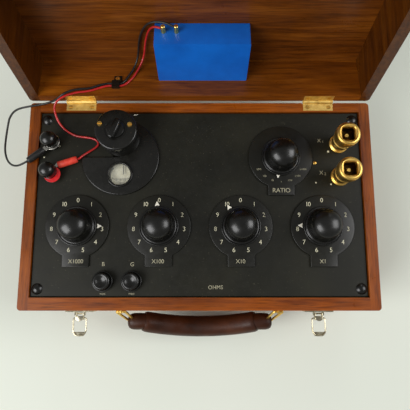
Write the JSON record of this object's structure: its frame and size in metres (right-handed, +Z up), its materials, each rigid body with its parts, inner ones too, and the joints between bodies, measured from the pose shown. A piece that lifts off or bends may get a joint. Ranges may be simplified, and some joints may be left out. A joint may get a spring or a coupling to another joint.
{
  "type": "wheatstone bridge",
  "caption": "Portable resistance bridge in a hinged hardwood case, with decade dials, a pointer galvanometer, brass terminals, press keys, leads and a leather handle.",
  "frame": {"origin": "centre of the case's underside, on the surface it stands on", "axes": "+X towards the right end of the case, +Y towards the hinges, +Z up; the lid stands open at its stop, as pictured"},
  "size_m": [0.4377, 0.3871, 0.34],
  "materials": {
    "mahogany": "French polished hardwood, red brown",
    "lid_mahogany": "French polished hardwood, darker inside the lid",
    "pale_wood": "plain unpolished wood",
    "ebonite": "aged hard rubber, satin, turned slightly olive",
    "dial_black": "black enamelled plate with cream engraved figures",
    "bakelite": "glossy black moulding",
    "black_enamel": "satin black enamel, rubbed bright along edges",
    "window_glass": "clear flat glass",
    "cream_card": "cream card with fine black marks",
    "magnet_iron": "dark cast magnet",
    "brass": "lacquered brass, lightly tarnished",
    "pale_brass": "pale polished brass",
    "terminal_nickel": "nickel plated",
    "nickel": "nickel over brass, slightly yellow",
    "spring_steel": "bright spring wire",
    "bobbin_wood": "varnished spools wound with silk-covered wire",
    "needle_black": "thin blackened metal",
    "leather": "dark brown stitched leather",
    "red_lead": "glossy red insulation",
    "red_sleeve": "orange red rubber sleeve",
    "black_lead": "black rubber",
    "battery_blue": "plain blue wrap"
  },
  "bodies": {
    "case": {"case_walls": "mahogany", "case_bottom": "mahogany", "panel_battens": "pale_wood", "instrument_panel": "ebonite", "dial_plates": "dial_black", "panel_screws": "bakelite", "galvanometer_cover": "black_enamel", "galvanometer_turret": "black_enamel", "window_glass": "window_glass", "scale_card": "cream_card", "galvanometer_magnet": "magnet_iron", "black_post_bases": "terminal_nickel", "brass_post_bases": "brass", "switch_contacts": "brass", "resistance_bobbins": "bobbin_wood", "spindle_bushes": "brass", "key_collars": "bakelite", "key_springs": "spring_steel", "case_hinge_leaves": "pale_brass", "brass_screws": "brass", "latch_plates": "nickel", "handle_staples": "brass", "lead_red": "red_lead", "lead_black": "black_lead", "plug_red": "red_sleeve", "plug_black": "black_lead"},
    "lid": {"lid_walls": "lid_mahogany", "lid_board": "lid_mahogany", "lid_hinge_leaves": "pale_brass", "lid_screws": "brass", "strike_plates": "nickel", "battery": "battery_blue", "lead_clip": "bakelite", "lead_tails": "black_lead"},
    "knob_x1000": {"knob_x1000": "bakelite", "rotor_x1000": "brass"},
    "knob_x100": {"knob_x100": "bakelite", "rotor_x100": "brass"},
    "knob_x10": {"knob_x10": "bakelite", "rotor_x10": "brass"},
    "knob_x1": {"knob_x1": "bakelite", "rotor_x1": "brass"},
    "knob_ratio": {"knob_ratio": "bakelite", "rotor_ratio": "brass"},
    "movement": {"galvanometer_movement": "needle_black"},
    "turret_switch": {"turret_knob": "bakelite"},
    "key_b": {"key_plunger_b": "brass", "key_button_b": "bakelite"},
    "key_g": {"key_plunger_g": "brass", "key_button_g": "bakelite"},
    "head_rear": {"post_head_rear": "bakelite"},
    "head_front": {"post_head_front": "bakelite"},
    "head_x1": {"post_head_x1": "brass"},
    "head_x2": {"post_head_x2": "brass"},
    "lever_left": {"latch_lever_left": "nickel"},
    "bail_left": {"latch_bail_left": "nickel"},
    "lever_right": {"latch_lever_right": "nickel"},
    "bail_right": {"latch_bail_right": "nickel"},
    "handle": {"handle_grip": "leather", "handle_loops": "brass"}
  },
  "joints": [
    {"name": "lid_hinge", "type": "hinge", "parent": "case", "child": "lid", "pos_m": [0, 0.1215, 0.1002], "axis": [1, 0, 0], "range_deg": [0, 102], "deforming": ["lead_red", "lead_black", "plug_black"]},
    {"name": "turn_x1000", "type": "hinge", "parent": "case", "child": "knob_x1000", "pos_m": [-0.1385, -0.027, 0.1], "axis": [0, 0, 1], "range_deg": [-229.09, 98.18]},
    {"name": "turn_x100", "type": "hinge", "parent": "case", "child": "knob_x100", "pos_m": [-0.04583, -0.027, 0.1], "axis": [0, 0, 1], "range_deg": [-327.27, 0]},
    {"name": "turn_x10", "type": "hinge", "parent": "case", "child": "knob_x10", "pos_m": [0.04683, -0.027, 0.1], "axis": [0, 0, 1], "range_deg": [0, 327.27]},
    {"name": "turn_x1", "type": "hinge", "parent": "case", "child": "knob_x1", "pos_m": [0.1395, -0.027, 0.1], "axis": [0, 0, 1], "range_deg": [-65.45, 261.82]},
    {"name": "turn_ratio", "type": "hinge", "parent": "case", "child": "knob_ratio", "pos_m": [0.094, 0.054, 0.1], "axis": [0, 0, 1], "range_deg": [-72, 54]},
    {"name": "needle_swing", "type": "hinge", "parent": "case", "child": "movement", "pos_m": [-0.092, 0.0764, 0.095], "axis": [0, 0, 1], "range_deg": [-16, 6], "stiffness_Nm_per_rad": 0.00002},
    {"name": "turret_turn", "type": "hinge", "parent": "case", "child": "turret_switch", "pos_m": [-0.092, 0.0764, 0.135], "axis": [0, 0, 1], "range_deg": [0, 100]},
    {"name": "press_b", "type": "slide", "parent": "case", "child": "key_b", "axis": [0, 0, -1], "range_m": [0, 0.003], "stiffness_N_per_m": 300, "springref_m": -0.004, "deforming": ["key_springs"]},
    {"name": "press_g", "type": "slide", "parent": "case", "child": "key_g", "axis": [0, 0, -1], "range_m": [0, 0.003], "stiffness_N_per_m": 300, "springref_m": -0.004, "deforming": ["key_springs"]},
    {"name": "unscrew_rear", "type": "hinge", "parent": "case", "child": "head_rear", "pos_m": [-0.172, 0.0714, 0.11], "axis": [0, 0, 1], "range_deg": [0, 720]},
    {"name": "unscrew_front", "type": "hinge", "parent": "case", "child": "head_front", "pos_m": [-0.1716, 0.0354, 0.11], "axis": [0, 0, 1], "range_deg": [0, 720]},
    {"name": "unscrew_x1", "type": "hinge", "parent": "case", "child": "head_x1", "pos_m": [0.1625, 0.07, 0.11], "axis": [0, 0, 1], "range_deg": [0, 720]},
    {"name": "unscrew_x2", "type": "hinge", "parent": "case", "child": "head_x2", "pos_m": [0.1625, 0.031, 0.11], "axis": [0, 0, 1], "range_deg": [0, 720]},
    {"name": "latch_lever_left", "type": "hinge", "parent": "case", "child": "lever_left", "pos_m": [-0.132, -0.1235, 0.093], "axis": [1, 0, 0], "range_deg": [0, 90]},
    {"name": "latch_bail_left", "type": "hinge", "parent": "lever_left", "child": "bail_left", "pos_m": [-0.132, -0.1285, 0.093], "axis": [-1, 0, 0], "range_deg": [0, 180]},
    {"name": "latch_lever_right", "type": "hinge", "parent": "case", "child": "lever_right", "pos_m": [0.132, -0.1235, 0.093], "axis": [1, 0, 0], "range_deg": [0, 90]},
    {"name": "latch_bail_right", "type": "hinge", "parent": "lever_right", "child": "bail_right", "pos_m": [0.132, -0.1285, 0.093], "axis": [-1, 0, 0], "range_deg": [0, 180]},
    {"name": "handle_swing", "type": "hinge", "parent": "case", "child": "handle", "pos_m": [0, -0.124, 0.062], "axis": [-1, 0, 0], "range_deg": [0, 125]}
  ],
  "couplings": [
    {"joint": "latch_bail_left", "follows": "latch_lever_left", "ratio": 2},
    {"joint": "latch_bail_right", "follows": "latch_lever_right", "ratio": 2}
  ]
}
